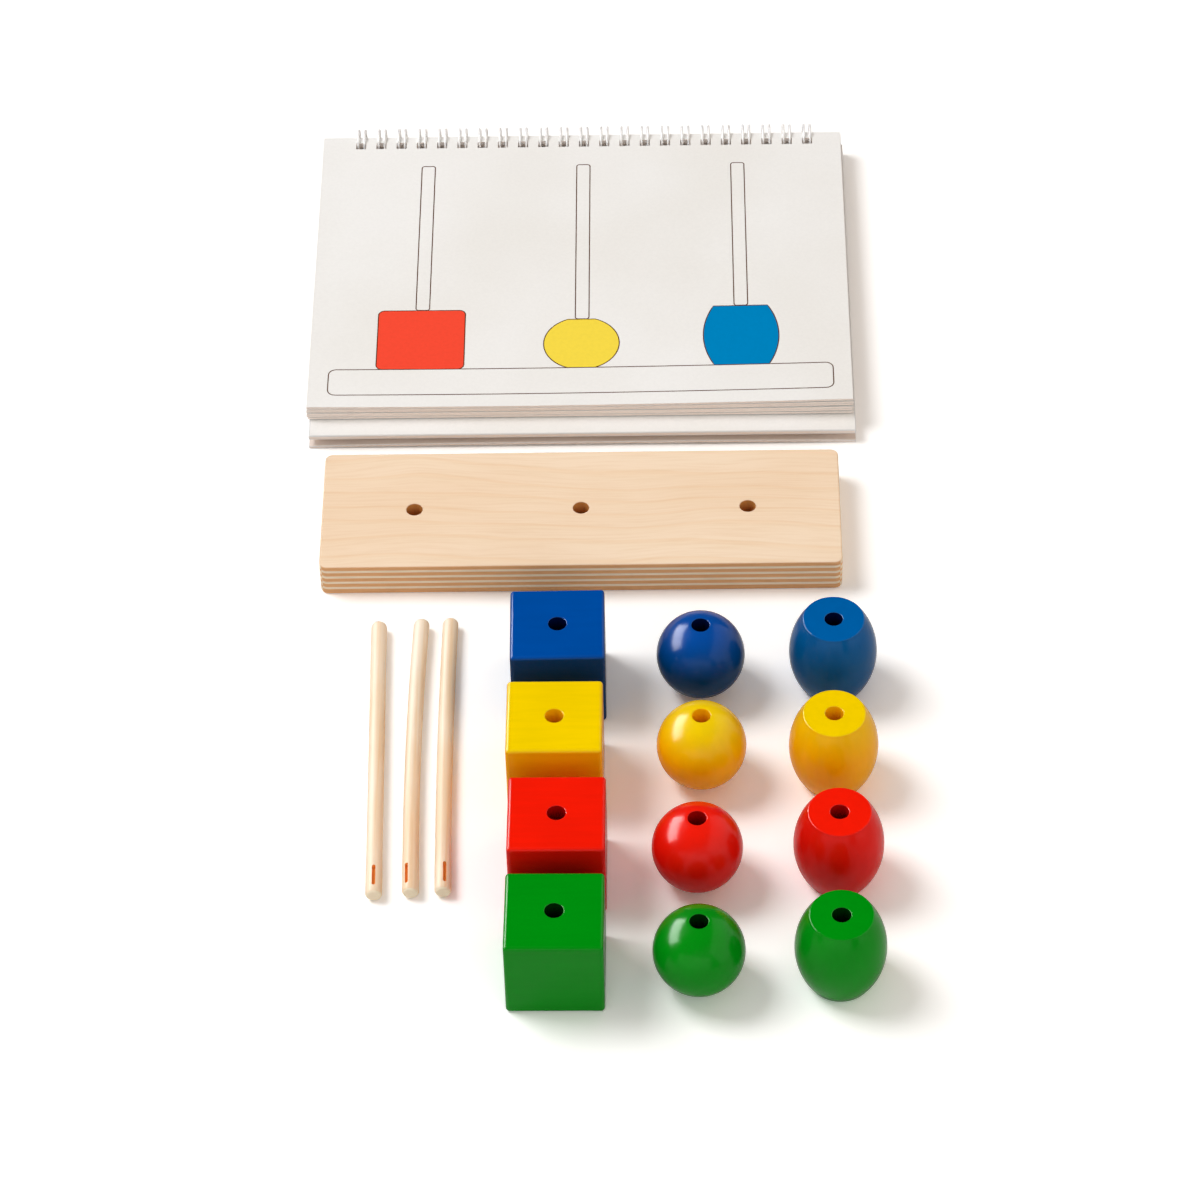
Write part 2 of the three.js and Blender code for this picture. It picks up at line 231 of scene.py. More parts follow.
def birch_plywood():
    """Clear birch: veneer on both faces, plies that change tone on the edges, darker drilled walls."""
    finish, tree, surface, place = blank_finish("birch_plywood")
    height = node(tree, "ShaderNodeSeparateXYZ", {0: place}).outputs["Z"]
    share = node(tree, "ShaderNodeMath", {0: height, 1: board_high.z}, operation="DIVIDE").outputs[0]
    cross, along = tint(240, 184, 133), tint(255, 238, 212)
    sides = [(0.0, cross)]
    ends = [(0.0, along)]
    for line in PLY_LINES:
        for stops, core, flank in ((sides, along, cross), (ends, cross, along)):
            stops += [(line - 0.05, flank), (line - 0.032, core), (line + 0.032, core), (line + 0.05, flank)]
    long_side = ramp(tree, share, sides)
    short_side = ramp(tree, share, ends)
    end_face = node(tree, "ShaderNodeAttribute", attribute_name="end_face").outputs["Fac"]
    plies = mixed(tree, end_face, long_side, short_side)
    sawn = node(tree, "ShaderNodeTexNoise", {
        "Vector": stretched(tree, place, (90, 90, 2600)), "Scale": 1.0, "Detail": 4.0, "Roughness": 0.7})
    sawn_tone = ramp(tree, sawn.outputs["Fac"], [(0.3, tint(222, 216, 208)), (0.7, tint(255, 255, 255))])
    plies = mixed(tree, 0.7, plies, sawn_tone, "MULTIPLY")

    drift = node(tree, "ShaderNodeTexNoise", {
        "Vector": stretched(tree, place, (9, 26, 26)), "Scale": 1.0, "Detail": 2.0})
    wander = node(tree, "ShaderNodeVectorMath", {0: drift.outputs["Color"], 1: (0.02, 0.02, 0.0)},
                  operation="MULTIPLY").outputs[0]
    swept = node(tree, "ShaderNodeVectorMath", {0: place, 1: wander}, operation="ADD").outputs[0]
    rings = node(tree, "ShaderNodeTexWave", {
        "Vector": stretched(tree, swept, (0.22, 1.0, 1.0), 0.16), "Scale": 38.0, "Distortion": 2.2,
        "Detail": 3.0, "Detail Scale": 1.4}, wave_type="BANDS", bands_direction="Y", wave_profile="SAW")
    year = ramp(tree, rings.outputs["Fac"], [
        (0.0, tint(255, 231, 204)), (0.72, tint(254, 230, 202)), (0.93, tint(252, 224, 192)),
        (1.0, tint(254, 230, 203))])
    fibre = node(tree, "ShaderNodeTexNoise", {
        "Vector": stretched(tree, swept, (35, 900, 900)), "Scale": 1.0, "Detail": 5.0, "Roughness": 0.65})
    fleck = ramp(tree, fibre.outputs["Fac"], [(0.32, tint(248, 243, 236)), (0.55, tint(255, 255, 255))])
    veneer = mixed(tree, 0.75, year, fleck, "MULTIPLY")
    cloud = ramp(tree, drift.outputs["Fac"], [(0.3, tint(250, 244, 238)), (0.7, tint(255, 255, 255))])
    veneer = mixed(tree, 1.0, veneer, cloud, "MULTIPLY")

    from_top = node(tree, "ShaderNodeMath", {0: board_high.z, 1: height}, operation="SUBTRACT").outputs[0]
    from_face = node(tree, "ShaderNodeMath", {0: from_top, 1: height}, operation="MINIMUM").outputs[0]
    on_face = node(tree, "ShaderNodeMapRange", {0: from_face, 1: 0.0001, 2: 0.0004, 3: 1.0, 4: 0.0})
    colour = mixed(tree, on_face.outputs[0], plies, veneer)
    drilled = node(tree, "ShaderNodeAttribute", attribute_name="drilled").outputs["Fac"]
    colour = mixed(tree, drilled, colour, tint(206, 142, 78))
    tree.links.new(colour, surface.inputs["Base Color"])
    surface.inputs["Roughness"].default_value = 0.7
    surface.inputs["Specular IOR Level"].default_value = 0.0
    bump = node(tree, "ShaderNodeBump", {
        "Height": fibre.outputs["Fac"], "Strength": 0.12, "Distance": 0.0002})
    tree.links.new(bump.outputs[0], surface.inputs["Normal"])
    return finish


board_mesh = eased_slab("plywood_board", board_low, board_high, BOARD_CORNER, BOARD_EASE)
board = shown("plywood_board", board_mesh, birch_plywood())
drills = []
for hole_x in HOLE_PLACES:
    bit = lathe("drill", [(0, HOLE_FLOOR), (HOLE_RADIUS, HOLE_FLOOR)]
                + eased_mouth(HOLE_RADIUS, HOLE_EASE, board_high.z), 48)
    bit.transform(Matrix.Translation((hole_x, 0, 0)))
    drills.append(bit)
carved(board, drills)
end_face = board.data.attributes.new("end_face", "FLOAT", "FACE")
end_face.data.foreach_set("value", [float(abs(face.normal.x) > 0.7) for face in board.data.polygons])
drilled = board.data.attributes.new("drilled", "FLOAT", "FACE")
for face, mark in zip(board.data.polygons, drilled.data):
    reach = min(math.hypot(face.center.x - hole_x, face.center.y) for hole_x in HOLE_PLACES)
    mark.value = float(reach < HOLE_RADIUS + 0.0001 and 0.001 < face.center.z < board_high.z - HOLE_EASE)
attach(board, "base_board")
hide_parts("base_board")


# Pegs: beech dowel cut to length, the tip rounded and the foot slotted from both sides down to a web,
# so that it springs and grips the board's hole. They lie side by side, a little bent as thin dowel dries.

PEG_RADIUS = 0.003
PEG_FOOT_RADIUS = 0.0031
PEG_LENGTH = 0.135
SLOT_HALF_WIDTH = 0.000625
SLOT_START = 0.003
SLOT_END = 0.0124
SLOT_CUTS = ((-0.0063, -0.0013), (0.0013, 0.0063))
PEG_LIES = (
    ("peg_left", (-0.0740, -0.1850), 1.17, 0, 0.0),
    ("peg_middle", (-0.0607, -0.1840), -0.08, -28, 0.00115),
    ("peg_right", (-0.0490, -0.1837), 0.23, 13, 0.0007),
)


def dowel_wood():
    """Bare beech: fine lines along the length, pores in the sawn end, and sawn walls in the slot painted
    bright orange as light glowing through the thin wood.
    """
    finish, tree, surface, place = blank_finish("dowel_wood")
    lines = node(tree, "ShaderNodeTexNoise", {
        "Vector": stretched(tree, place, (650, 9, 650)), "Scale": 1.0, "Detail": 4.0, "Roughness": 0.6})
    grain = ramp(tree, lines.outputs["Fac"], [
        (0.3, tint(248, 216, 175)), (0.5, tint(255, 235, 209)), (0.72, tint(255, 241, 221))])
    patches = node(tree, "ShaderNodeTexNoise", {
        "Vector": stretched(tree, place, (70, 22, 70)), "Scale": 1.0, "Detail": 2.0})
    tone = ramp(tree, patches.outputs["Fac"], [(0.35, tint(250, 238, 222)), (0.65, tint(255, 255, 255))])
    colour = mixed(tree, 1.0, grain, tone, "MULTIPLY")
    pores = node(tree, "ShaderNodeTexVoronoi", {
        "Vector": stretched(tree, place, (1900, 120, 1900)), "Scale": 1.0}, feature="F1")
    pitted = ramp(tree, pores.outputs["Distance"], [(0.05, tint(205, 160, 112)), (0.2, tint(255, 255, 255))])
    end_grain = node(tree, "ShaderNodeAttribute", attribute_name="end_grain").outputs["Fac"]
    sawn = mixed(tree, 0.7, tint(255, 236, 206), pitted, "MULTIPLY")
    colour = mixed(tree, end_grain, colour, sawn)
    # Painted light: the slot walls are sawn wood tinted bright orange, for light that glows through the thin
    # wood into the slot.
    slot_painted_light = node(tree, "ShaderNodeAttribute", attribute_name="slot_wall").outputs["Fac"]
    colour = mixed(tree, slot_painted_light, colour, tint(255, 176, 84))
    tree.links.new(colour, surface.inputs["Base Color"])
    surface.inputs["Roughness"].default_value = 0.55
    surface.inputs["Specular IOR Level"].default_value = 0.35
    bump = node(tree, "ShaderNodeBump", {
        "Height": lines.outputs["Fac"], "Strength": 0.15, "Distance": 0.0002})
    tree.links.new(bump.outputs[0], surface.inputs["Normal"])
    return finish


def peg_profile():
    """The outside of a peg from its chamfered, slightly swollen foot up to its rounded tip."""
    chamfer, rounding, swell_end = 0.0008, 0.0022, 0.0124
    points = [(0, 0), (PEG_FOOT_RADIUS - chamfer, 0)]
    points += [(PEG_FOOT_RADIUS - 0.0003, chamfer * 0.55), (PEG_FOOT_RADIUS, chamfer * 1.3)]
    points += [(PEG_FOOT_RADIUS, swell_end), (PEG_RADIUS, swell_end + 0.006)]
    shaft_end = PEG_LENGTH - rounding
    points += [(PEG_RADIUS, 0.02 + (shaft_end - 0.02) * k / 16) for k in range(17)]
    for k in range(1, 7):
        angle = math.pi / 2 * k / 6
        points.append((PEG_RADIUS - rounding * (1 - math.cos(angle)), shaft_end + rounding * math.sin(angle)))
    return points + [(0, PEG_LENGTH)]


dowel = dowel_wood()
for peg_name, foot, lean, roll, bow in PEG_LIES:
    peg = shown(peg_name + "_dowel", lathe(peg_name, peg_profile(), 48), dowel)
    slots = []
    for low, high in SLOT_CUTS:
        near, far = Vector((-SLOT_HALF_WIDTH, SLOT_START, low)), Vector((SLOT_HALF_WIDTH, SLOT_END, high))
        slots.append(eased_slab("slot", near, far, 0.00062, 0.0001))
    lying = Matrix.Rotation(math.radians(-90), 4, "X")
    peg.data.transform(lying)
    carved(peg, slots)
    ends = peg.data.attributes.new("end_grain", "FLOAT", "FACE")
    walls = peg.data.attributes.new("slot_wall", "FLOAT", "FACE")
    faces = peg.data.polygons
    ends.data.foreach_set("value", [float(f.normal.y < -0.5 and f.center.y < 0.001) for f in faces])
    walls.data.foreach_set("value", [
        float(abs(f.center.x) < SLOT_HALF_WIDTH + 0.000015
              and math.hypot(f.center.x, f.center.z) < PEG_RADIUS - 0.0001
              and SLOT_START - 0.0001 < f.center.y < SLOT_END + 0.0001) for f in faces])
    peg.data.transform(Matrix.Rotation(math.radians(roll), 4, "Y"))
    for vertex in peg.data.vertices:
        share = 2 * vertex.co.y / PEG_LENGTH - 1
        vertex.co.x -= bow * (1 - share * share)
    laid = Matrix.Translation((*foot, PEG_FOOT_RADIUS)) @ Matrix.Rotation(math.radians(lean), 4, "Z")
    peg.data.transform(laid)
    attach(peg, peg_name)
    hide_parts(peg_name)


# Cubes: blocks sawn from square stock, edges sanded over, bored through and dipped in gloss paint.
# The paint shows the grain as faint ridges. Its colour is painted deeper on the sides than on top and
# darkest in the bore, as painted shade, and the paint is matt on the two bored faces.

BORE_RADIUS = 0.0033
BORE_EASE = 0.00045
CUBE_EDGE = 0.0014
CUBE_GRAIN = (38, 420, 420)
GLOSS = {"shine": 0.14, "roughest": 0.24, "smoothest": 0.17}
MATT = {"shine": 0.0, "roughest": 0.7, "smoothest": 0.6}
# Each paint: its colour on top, then a deeper side colour and a bore colour that are painted shade.
PAINTS = {
    "blue": (tint(0, 78, 168), tint(0, 54, 102), tint(0, 16, 62)),
    "yellow": (tint(255, 216, 0), tint(255, 179, 0), tint(255, 189, 0)),
    "red": (tint(255, 28, 7), tint(222, 15, 4), tint(176, 6, 3)),
    "green": (tint(0, 148, 16), tint(0, 138, 18), tint(0, 52, 6)),
}
CUBE_TURNS = {"blue": 0.5, "yellow": -0.3, "red": -0.4, "green": -0.6}


def wood_paint(name, colours, grain_scale, shine, roughest, smoothest):
    """Paint over wood, from its colours on top, on the sides and in the bore; the side and bore colours are
    painted shade.
    """
    finish, tree, surface, place = blank_finish(name)
    # Painted shade: faces that point sideways or down take the deeper side colour, and faces that point up
    # take the top colour.
    painted_shade_facing = node(tree, "ShaderNodeTexCoord").outputs["Normal"]
    upward = node(tree, "ShaderNodeSeparateXYZ", {0: painted_shade_facing}).outputs["Z"]
    body = ramp(tree, upward, [(0.15, colours[1]), (0.9, colours[0])])
    # Painted shade: the marked bore wall takes the darker bore colour.
    inside = node(tree, "ShaderNodeAttribute", attribute_name="bored").outputs["Fac"]
    body = mixed(tree, inside, body, colours[2])
    flow = node(tree, "ShaderNodeTexNoise", {
        "Vector": place, "Scale": 45.0, "Detail": 2.0, "Roughness": 0.5})
    run = ramp(tree, flow.outputs["Fac"], [(0.35, tint(250, 250, 250)), (0.65, tint(255, 255, 255))])
    body = mixed(tree, 1.0, body, run, "MULTIPLY")
    wood = node(tree, "ShaderNodeTexNoise", {
        "Vector": stretched(tree, place, grain_scale), "Scale": 1.0, "Detail": 4.0, "Roughness": 0.6})
    ridge = ramp(tree, wood.outputs["Fac"], [(0.38, tint(248, 248, 248)), (0.6, tint(255, 255, 255))])
    tree.links.new(mixed(tree, 0.6, body, ridge, "MULTIPLY"), surface.inputs["Base Color"])
    sheen = node(tree, "ShaderNodeMapRange", {
        0: wood.outputs["Fac"], 1: 0.3, 2: 0.7, 3: roughest, 4: smoothest})
    tree.links.new(sheen.outputs[0], surface.inputs["Roughness"])
    surface.inputs["Specular IOR Level"].default_value = shine
    skin = node(tree, "ShaderNodeTexNoise", {"Vector": place, "Scale": 420.0, "Detail": 2.0})
    lift = node(tree, "ShaderNodeMath", {0: skin.outputs["Fac"], 1: 0.5, 2: wood.outputs["Fac"]},
                operation="MULTIPLY_ADD")
    bump = node(tree, "ShaderNodeBump", {"Height": lift.outputs[0], "Strength": 0.05, "Distance": 0.0003})
    tree.links.new(bump.outputs[0], surface.inputs["Normal"])
    return finish


def marked_bore_shade(bead):
    """Marks the wall of the bore, which takes a darker colour as painted shade, on a bead about the upright
    axis.
    """
    bored = bead.data.attributes.new("bored", "FLOAT", "FACE")
    for face, mark in zip(bead.data.polygons, bored.data):
        reach = math.hypot(face.center.x, face.center.y)
        mark.value = float(reach < BORE_RADIUS + 0.0001 and abs(face.normal.z) < 0.7)


def dulled_ends(bead, colours, grain_scale):
    """Gives the flat faces round the bore's two mouths a matt coat."""
    bead.data.materials.append(wood_paint(bead.name + "_end", colours, grain_scale, **MATT))
    for face in bead.data.polygons:
        if abs(face.normal.z) > 0.9999:
            face.material_index = 1


def through_drill(bottom, top):
    """A drill that goes right through and leaves both rims of the bore rounded."""
    upper = eased_mouth(BORE_RADIUS, BORE_EASE, top)
    lower = [(radius, bottom + top - height) for radius, height in reversed(upper)]
    return lathe("drill", lower + upper, 56)


def eased_block(name, side, radius):
    """A block standing on the origin with all its edges rounded."""
    shape = bmesh.new()
    bmesh.ops.create_cube(shape, size=side)
    bmesh.ops.bevel(shape, geom=shape.edges[:], offset=radius, segments=5, profile=0.5, affect="EDGES")
    bmesh.ops.translate(shape, verts=shape.verts, vec=(0, 0, side / 2))
    mesh = bpy.data.meshes.new(name)
    shape.to_mesh(mesh)
    shape.free()
    return mesh


for paint, colours in PAINTS.items():
    cube_low, cube_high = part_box("cube_" + paint)
    cube_side = cube_high.z - cube_low.z
    cube = shown("painted_cube_" + paint, eased_block("cube", cube_side, CUBE_EDGE),
                 wood_paint("cube_paint_" + paint, colours, CUBE_GRAIN, **GLOSS))
    carved(cube, [through_drill(0, cube_side)])
    marked_bore_shade(cube)
    dulled_ends(cube, colours, CUBE_GRAIN)
    cube.data.transform(Matrix.Rotation(math.radians(CUBE_TURNS[paint]), 4, "Z"))
    cube.data.transform(Matrix.Translation(
        ((cube_low.x + cube_high.x) / 2, (cube_low.y + cube_high.y) / 2, cube_low.z)))
    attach(cube, "cube_" + paint)
    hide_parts("cube_" + paint)


# Balls: turned beads, bored through and dipped in the same gloss paints as the cubes.
# They stand on the rim of the bore, so the hole looks straight up.

TURNED_GRAIN = (300, 300, 45)


def bored(outside):
    """Closes a turned outside, given from its lower rim to its upper one, with a rounded bore."""
    bottom, top = outside[0][1], outside[-1][1]
    rims = []
    for k in range(1, 6):
        angle = math.pi / 2 * k / 5
        inset = BORE_EASE * (1 - math.sin(angle))
        rims.append((BORE_RADIUS + inset, top - BORE_EASE * (1 - math.cos(angle))))
    down = [(radius, bottom + top - height) for radius, height in reversed(rims)]
    return outside + rims + down


for paint, colours in PAINTS.items():
    ball_low, ball_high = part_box("ball_" + paint)
    radius = (ball_high.x - ball_low.x) / 2
    rim = math.asin((BORE_RADIUS + BORE_EASE) / radius)
    angles = [math.pi - rim - (math.pi - 2 * rim) * k / 48 for k in range(49)]
    profile = bored([(radius * math.sin(a), radius * math.cos(a)) for a in angles])
    ball = shown("painted_ball_" + paint, lathe("ball", profile, 96, closed=True),
                 wood_paint("ball_paint_" + paint, colours, TURNED_GRAIN, **GLOSS))
    marked_bore_shade(ball)
    ball.data.transform(Matrix.Translation(
        ((ball_low.x + ball_high.x) / 2, (ball_low.y + ball_high.y) / 2, radius)))
    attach(ball, "ball_" + paint)
    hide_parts("ball_" + paint)


# Barrels: turned beads with a full belly and flat ends, bored and painted as the rest.
# The edge of each flat end is only just broken, and the blue is a lighter batch.

BARREL_RIM = 0.0113
BARREL_EDGE = 0.0005
# The lighter blue batch also has its side and bore colours painted as shade.
BARREL_PAINTS = {**PAINTS, "blue": (tint(0, 98, 174), tint(0, 80, 134), tint(0, 16, 62))}

for paint, colours in BARREL_PAINTS.items():
    barrel_low, barrel_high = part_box("barrel_" + paint)
    belly = (barrel_high.x - barrel_low.x) / 2
    tall = barrel_high.z - barrel_low.z
    swell = belly - BARREL_RIM
    arc = ((tall / 2) ** 2 + swell ** 2) / (2 * swell)
    reach = math.asin((tall / 2 - BARREL_EDGE) / arc)
    side = []
    for k in range(41):
        angle = reach * (k / 20 - 1)
        side.append((belly - arc * (1 - math.cos(angle)), tall / 2 + arc * math.sin(angle)))
    shoulder = side[-1][0]
    edge = [(shoulder - BARREL_EDGE * 0.22, tall - BARREL_EDGE * 0.45),
            (shoulder - BARREL_EDGE * 0.6, tall - BARREL_EDGE * 0.12), (shoulder - BARREL_EDGE * 1.2, tall)]
    foot_edge = [(radius, tall - height) for radius, height in reversed(edge)]
    inner = BORE_RADIUS + BORE_EASE
    profile = bored([(inner, 0), *foot_edge, *side, *edge, (inner, tall)])
    barrel = shown("painted_barrel_" + paint, lathe("barrel", profile, 96, closed=True),
                   wood_paint("barrel_paint_" + paint, colours, TURNED_GRAIN, **GLOSS), crease=50)
    marked_bore_shade(barrel)
    dulled_ends(barrel, colours, TURNED_GRAIN)
    barrel.data.transform(Matrix.Translation(
        ((barrel_low.x + barrel_high.x) / 2, (barrel_low.y + barrel_high.y) / 2, barrel_low.z)))
    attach(barrel, "barrel_" + paint)
    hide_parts("barrel_" + paint)


# Easel boards and leaves: white card, guillotined to size and punched in one go along the back edge.
# The boards are longer than the leaves; the front board is lined in buff underneath and the back board's top
# is tinted cream as painted warm shade. All turn on the wire in their punches.

WIRE_AXIS = Vector((-0.0001, 0.22195, 0.0072312))
LEAF_WIDTH = 0.2159
LEAF_DEPTH = 0.1628
LEAF_THICKNESS = 0.0009
LEAF_TWIST = 0.00065
LEAF_SAG = 0.0011
BOARD_CARD_WIDTH = 0.2162
BACK_BOARD_BOW = 0.0007
BACK_EDGE = -0.0004
PUNCHES = 23
PUNCH_PITCH = 0.0254 / 3
PUNCH_WIDTH = 0.0042
PUNCH_LENGTH = 0.0038
PUNCH_INSET = 0.0053875
CARDS = [("easel_back_board", "booklet", 0.0012, -0.005075, -0.71386, 0.0099, 0.0, 0.0),
         ("easel_front_board", "easel_front", 0.0022, -0.003575, 0.1, 0.0091, 0.0, 0.0)]
LEAF_SHIFTS = ((-0.75, 0.0), (-1.15, 0.1), (-0.85, -0.2), (-1.05, 0.2), (-0.75, -0.1), (-0.95, 0.0))
for up, (shift_x, shift_y) in enumerate(LEAF_SHIFTS):
    leaf_name = f"leaf_{6 - up}"
    bottom = -0.001075 + up * 0.00105
    lift = 0.17 + 0.07 * up
    CARDS.append((leaf_name, leaf_name, LEAF_THICKNESS, bottom, lift, 0.0, shift_x / 1000, shift_y / 1000))


def white_card():
    """Matt white card with a faint speck of fibre."""
    finish, tree, surface, place = blank_finish("white_card")
    fibre = node(tree, "ShaderNodeTexNoise", {
        "Vector": place, "Scale": 900.0, "Detail": 3.0, "Roughness": 0.6})
    speck = ramp(tree, fibre.outputs["Fac"], [(0.35, tint(247, 246, 244)), (0.65, tint(250, 249, 247))])
    cloud = node(tree, "ShaderNodeTexNoise", {"Vector": place, "Scale": 14.0, "Detail": 2.0})
    tone = ramp(tree, cloud.outputs["Fac"], [(0.35, tint(250, 249, 247)), (0.65, tint(255, 255, 255))])
    tree.links.new(mixed(tree, 1.0, speck, tone, "MULTIPLY"), surface.inputs["Base Color"])
    surface.inputs["Roughness"].default_value = 0.8
    surface.inputs["Specular IOR Level"].default_value = 0.0
    bump = node(tree, "ShaderNodeBump", {
        "Height": fibre.outputs["Fac"], "Strength": 0.03, "Distance": 0.0001})
    tree.links.new(bump.outputs[0], surface.inputs["Normal"])
    return finish


def cut_card():
    """The cut edge of a card, with its pressed layers as faint lines."""
    finish, tree, surface, place = blank_finish("cut_card")
    flat = node(tree, "ShaderNodeAttribute", attribute_name="flat_place").outputs["Vector"]
    layers = node(tree, "ShaderNodeTexNoise", {
        "Vector": stretched(tree, flat, (7, 7, 5200)), "Scale": 1.0, "Detail": 3.0})
    tone = ramp(tree, layers.outputs["Fac"], [(0.3, tint(236, 220, 208)), (0.65, tint(249, 240, 233))])
    tree.links.new(tone, surface.inputs["Base Color"])
    surface.inputs["Roughness"].default_value = 0.8
    surface.inputs["Specular IOR Level"].default_value = 0.0
    return finish


def inner_face_tint(name, dark, pale):
    """A plain tint on the inner face of an easel board, used for the buff lining and for the cream painted
    shade.
    """
    finish, tree, surface, place = blank_finish(name)
    fibre = node(tree, "ShaderNodeTexNoise", {
        "Vector": place, "Scale": 700.0, "Detail": 3.0, "Roughness": 0.6})
    tone = ramp(tree, fibre.outputs["Fac"], [(0.3, dark), (0.7, pale)])
    tree.links.new(tone, surface.inputs["Base Color"])
    surface.inputs["Roughness"].default_value = 0.8
    surface.inputs["Specular IOR Level"].default_value = 0.0
    return finish


def sized_inputs(tree, sizes):
    """Gives a tree its named inputs and an output, and returns the sockets inside it by name."""
    for name, kind in sizes:
        tree.interface.new_socket(name=name, in_out="INPUT", socket_type=kind)
    tree.interface.new_socket(name="Geometry", in_out="OUTPUT", socket_type="NodeSocketGeometry")
    return tree.nodes.new("NodeGroupInput").outputs


def punched_card_tree(face, edge):
    """A flat card with a row of punches along its back edge, at y = 0."""
    tree = bpy.data.node_groups.new("punched_card", "GeometryNodeTree")
    size = sized_inputs(tree, [(name, "NodeSocketFloat") for name in (
        "Width", "Depth", "Thickness", "Pitch", "Row Shift", "Punch Width", "Punch Length", "Punch Inset")]
        + [("Punches", "NodeSocketInt")])

    def sums(operation, *terms):
        return node(tree, "ShaderNodeMath", dict(enumerate(terms)), operation=operation).outputs[0]

    def vector(x, y, z):
        return node(tree, "ShaderNodeCombineXYZ", {0: x, 1: y, 2: z}).outputs[0]

    sheet = node(tree, "GeometryNodeMeshCube", {
        "Size": vector(size["Width"], size["Depth"], size["Thickness"]), "Vertices X": 25, "Vertices Y": 3})
    back, above = sums("MULTIPLY", size["Depth"], -0.5), sums("MULTIPLY", size["Thickness"], 0.5)
    laid = node(tree, "GeometryNodeTransform", {
        "Geometry": sheet.outputs["Mesh"], "Translation": vector(0.0, back, above)})
    through = sums("MULTIPLY", size["Thickness"], 3.0)
    punch = node(tree, "GeometryNodeMeshCube", {
        "Size": vector(size["Punch Width"], size["Punch Length"], through)})
    gaps = sums("SUBTRACT", size["Punches"], 1.0)
    first = sums("ADD", sums("MULTIPLY", sums("MULTIPLY", gaps, size["Pitch"]), -0.5), size["Row Shift"])
    row = node(tree, "GeometryNodeMeshLine", {
        "Count": size["Punches"], "Offset": vector(size["Pitch"], 0.0, 0.0),
        "Start Location": vector(first, sums("MULTIPLY", size["Punch Inset"], -1.0), 0.0)})
    punches = node(tree, "GeometryNodeInstanceOnPoints", {
        "Points": row.outputs["Mesh"], "Instance": punch.outputs["Mesh"]})
    apart = node(tree, "GeometryNodeRealizeInstances", {"Geometry": punches.outputs[0]})
    cut = node(tree, "GeometryNodeMeshBoolean", {0: laid.outputs[0], 1: apart.outputs[0]},
               operation="DIFFERENCE", solver="EXACT")
    whole = node(tree, "GeometryNodeRealizeInstances", {"Geometry": cut.outputs[0]})
    faced = node(tree, "GeometryNodeSetMaterial", {"Geometry": whole.outputs[0], "Material": face})
    upward = node(tree, "ShaderNodeSeparateXYZ", {0: tree.nodes.new("GeometryNodeInputNormal").outputs[0]})
    on_edge = node(tree, "FunctionNodeCompare", {
        0: sums("ABSOLUTE", upward.outputs["Z"]), 1: 0.5}, data_type="FLOAT", operation="LESS_THAN")
    edged = node(tree, "GeometryNodeSetMaterial", {
        "Geometry": faced.outputs[0], "Selection": on_edge.outputs[0], "Material": edge})
    node(tree, "NodeGroupOutput", {0: edged.outputs[0]})
    return tree


def grown(name, tree, sizes):
    """An object holding the plain mesh that a tree makes with these sizes."""
    piece = bpy.data.objects.new(name, bpy.data.meshes.new(name))
    bpy.context.scene.collection.objects.link(piece)
    maker = piece.modifiers.new("made", "NODES")
    maker.node_group = tree
    for item in tree.interface.items_tree:
        if item.in_out == "INPUT" and item.name in sizes:
            maker[item.identifier] = sizes[item.name]
    bpy.context.view_layer.update()
    plain = bpy.data.meshes.new_from_object(piece.evaluated_get(bpy.context.evaluated_depsgraph_get()))
    piece.modifiers.remove(maker)
    piece.data = plain
    return piece


def hung(bottom, lift, shift_x=0.0, shift_y=0.0):
    """Where a card lies: its back edge at the wire, turned up from level by a small angle."""
    turned = Matrix.Translation(WIRE_AXIS) @ Matrix.Rotation(math.radians(-lift), 4, "X")
    return turned @ Matrix.Translation((shift_x, BACK_EDGE + shift_y, bottom))


def warped(mesh, up):
    """Lets a leaf's front rise at the right, drop at the left and sag between, more for each leaf up."""
    for vertex in mesh.vertices:
        across = 2 * vertex.co.x / LEAF_WIDTH
        along = -vertex.co.y / LEAF_DEPTH
        vertex.co.z += up / 5 * along * (LEAF_TWIST * across - LEAF_SAG * (1 - across * across))


def bowed(mesh, rise):
    """Lifts a board's front edge off the table between its two ends."""
    for vertex in mesh.vertices:
        across = 2 * vertex.co.x / BOARD_CARD_WIDTH
        along = -vertex.co.y / LEAF_DEPTH
        vertex.co.z += rise * along * (1 - across ** 4)


def worn(mesh, radius):
    """Rounds the outer edges of a card, leaving the punched row sharp."""
    shape = bmesh.new()
    shape.from_mesh(mesh)
    half = max(vertex.co.x for vertex in shape.verts)
    front = min(vertex.co.y for vertex in shape.verts)

    def outside(face):
        middle = face.calc_center_median()
        return abs(middle.x) > half - 1e-6 or middle.y < front + 1e-6 or middle.y > -1e-6

    rim = [edge for edge in shape.edges if len(edge.link_faces) == 2 and edge.calc_face_angle() > 1.0
           and any(outside(face) for face in edge.link_faces)]
    bmesh.ops.bevel(
        shape, geom=rim, offset=radius, segments=4, profile=0.5, affect="EDGES", clamp_overlap=True)
    shape.to_mesh(mesh)
    shape.free()


card_tree = punched_card_tree(white_card(), cut_card())
